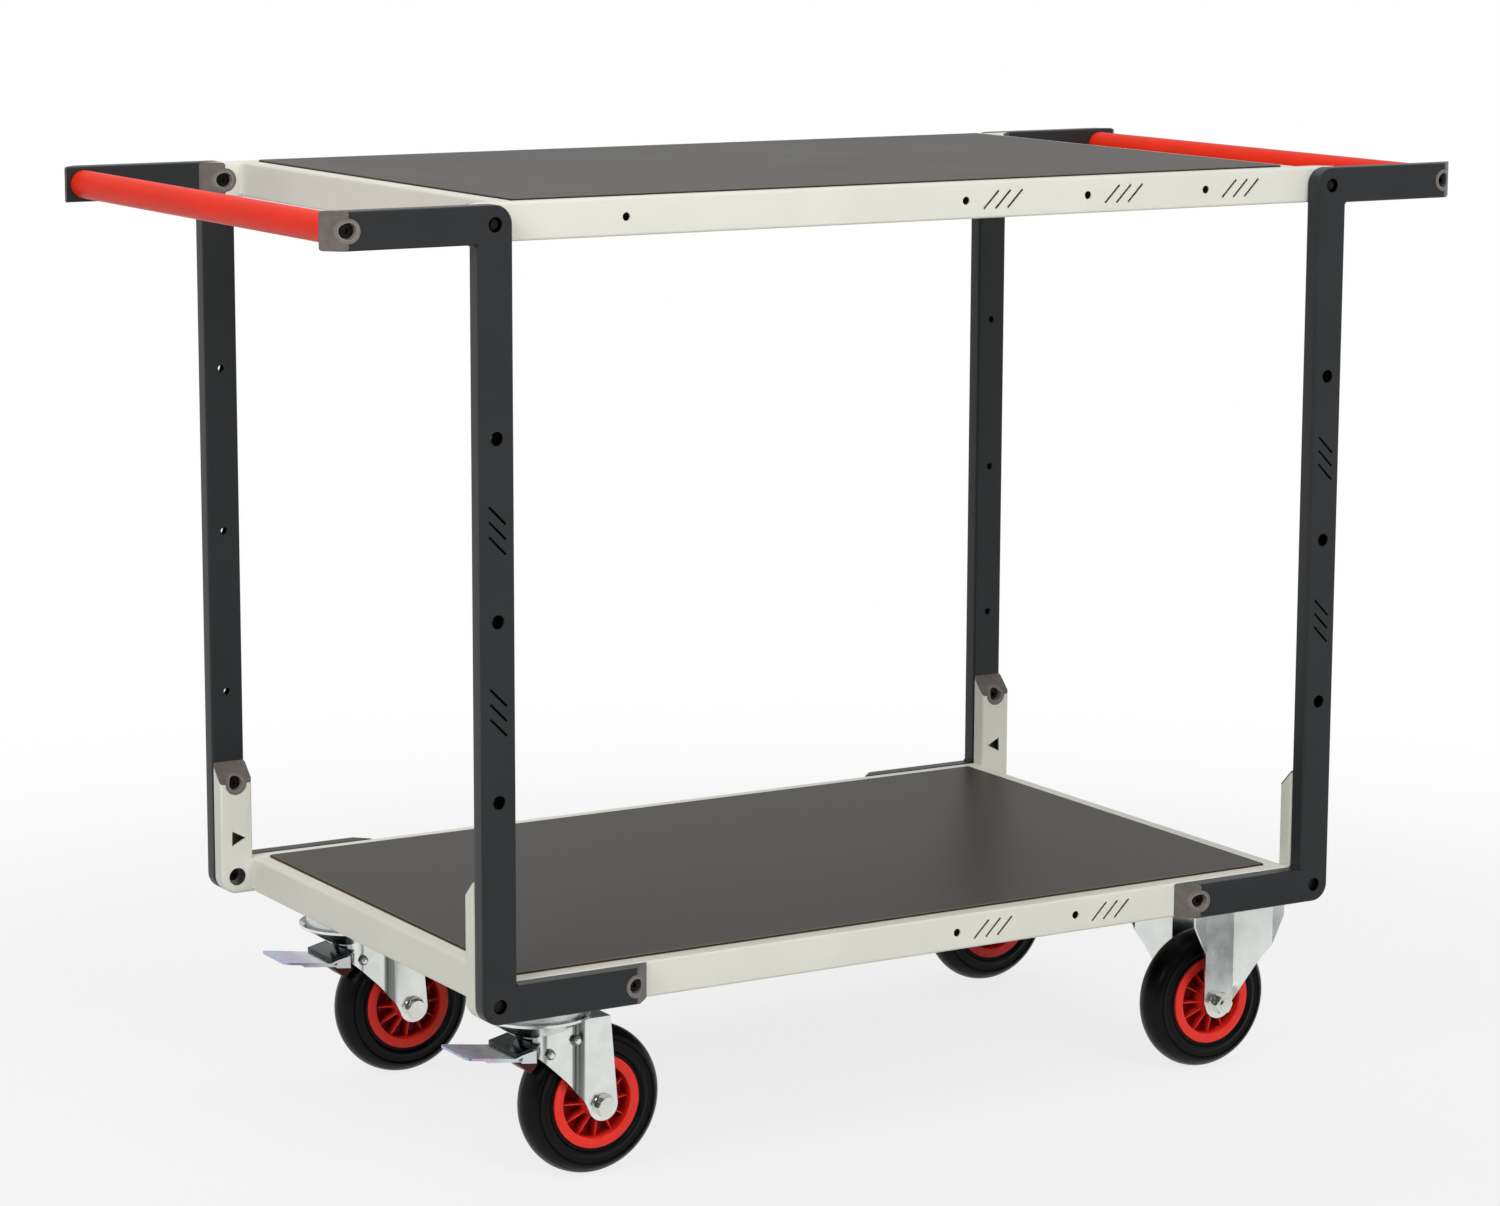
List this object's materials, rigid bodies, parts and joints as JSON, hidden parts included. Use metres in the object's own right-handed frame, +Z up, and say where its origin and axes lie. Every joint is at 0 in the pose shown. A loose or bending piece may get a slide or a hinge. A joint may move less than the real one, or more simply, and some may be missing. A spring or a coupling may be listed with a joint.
{
  "type": "utility cart",
  "caption": "Two-shelf utility cart: flat-tube frame, dark plywood decks in pale rails, red push bars, braked swivel castors at one end and fixed castors at the other",
  "frame": {"origin": "on the floor, at the middle of the cart's bounding box", "axes": "+X along the cart from the swivel castors to the fixed ones, +Y across it towards the back, +Z up"},
  "size_m": [1.3702, 0.67, 1.021],
  "materials": {
    "frame": "anthracite satin powder coat",
    "shelf": "off-white satin powder coat",
    "cap": "taupe moulded plastic",
    "bar": "red satin coat",
    "deck": "dark film-faced plywood, tan edge",
    "zinc": "bright zinc-plated pressed steel",
    "fastener": "zinc-plated steel",
    "pedal": "bluish zinc passivation",
    "release": "dark glossy coat",
    "shoe": "dark red rubber",
    "tyre": "black solid rubber",
    "rim": "bright red moulded plastic",
    "cage": "natural plastic roller cage"
  },
  "bodies": {
    "root": {"side_frame_front_left": "frame", "side_frame_back_left": "frame", "side_frame_front_right": "frame", "side_frame_back_right": "frame", "handle_bar_left": "bar", "handle_bar_right": "bar", "handle_bar_plugs": "fastener", "frame_end_caps": "cap", "shelf_end_caps": "cap", "frame_screws": "fastener", "corner_screws": "fastener", "threaded_inserts": "fastener", "upper_rail_front": "shelf", "upper_rail_back": "shelf", "upper_rail_left": "shelf", "upper_rail_right": "shelf", "lower_rail_front": "shelf", "lower_rail_back": "shelf", "lower_rail_left": "shelf", "lower_rail_right": "shelf", "upper_deck": "deck", "lower_deck": "deck", "deck_ledges": "shelf", "deck_screws": "fastener", "castor_channels": "shelf", "castor_bolts": "fastener", "top_plate_front_left": "zinc", "top_plate_back_left": "zinc", "kingpin_front_left": "fastener", "kingpin_back_left": "fastener", "fixed_fork_front_right": "zinc", "fixed_fork_back_right": "zinc", "fixed_axles": "fastener", "fixed_axle_sleeves": "fastener"},
    "swivel_front_left": {"swivel_fork_front_left": "zinc", "axle_front_left": "fastener", "axle_sleeve_front_left": "fastener", "brake_bolts_front_left": "fastener"},
    "brake_front_left": {"brake_pedal_front_left": "pedal", "release_plate_front_left": "release", "brake_shoe_front_left": "shoe"},
    "swivel_back_left": {"swivel_fork_back_left": "zinc", "axle_back_left": "fastener", "axle_sleeve_back_left": "fastener", "brake_bolts_back_left": "fastener"},
    "brake_back_left": {"brake_pedal_back_left": "pedal", "release_plate_back_left": "release", "brake_shoe_back_left": "shoe"},
    "wheel_front_left": {"tyre_front_left": "tyre", "rim_front_left": "rim", "roller_cage_front_left": "cage"},
    "wheel_back_left": {"tyre_back_left": "tyre", "rim_back_left": "rim", "roller_cage_back_left": "cage"},
    "wheel_front_right": {"tyre_front_right": "tyre", "rim_front_right": "rim", "roller_cage_front_right": "cage"},
    "wheel_back_right": {"tyre_back_right": "tyre", "rim_back_right": "rim", "roller_cage_back_right": "cage"}
  },
  "joints": [
    {"name": "swivel_front_left_turn", "type": "hinge", "parent": "root", "child": "swivel_front_left", "pos_m": [-0.407, -0.218, 0.17], "axis": [0, 0, 1], "continuous": true},
    {"name": "wheel_front_left_roll", "type": "hinge", "parent": "swivel_front_left", "child": "wheel_front_left", "pos_m": [-0.346, -0.218, 0.08], "axis": [0, 1, 0], "continuous": true},
    {"name": "brake_front_left_press", "type": "hinge", "parent": "swivel_front_left", "child": "brake_front_left", "pos_m": [-0.40823, -0.218, 0.14223], "axis": [0, -1, 0], "range_deg": [0, 10]},
    {"name": "swivel_back_left_turn", "type": "hinge", "parent": "root", "child": "swivel_back_left", "pos_m": [-0.407, 0.218, 0.17], "axis": [0, 0, 1], "continuous": true},
    {"name": "wheel_back_left_roll", "type": "hinge", "parent": "swivel_back_left", "child": "wheel_back_left", "pos_m": [-0.346, 0.218, 0.08], "axis": [0, 1, 0], "continuous": true},
    {"name": "brake_back_left_press", "type": "hinge", "parent": "swivel_back_left", "child": "brake_back_left", "pos_m": [-0.40823, 0.218, 0.14223], "axis": [0, -1, 0], "range_deg": [0, 10]},
    {"name": "wheel_front_right_roll", "type": "hinge", "parent": "root", "child": "wheel_front_right", "pos_m": [0.444, -0.218, 0.08], "axis": [0, 1, 0], "continuous": true},
    {"name": "wheel_back_right_roll", "type": "hinge", "parent": "root", "child": "wheel_back_right", "pos_m": [0.444, 0.218, 0.08], "axis": [0, 1, 0], "continuous": true}
  ]
}
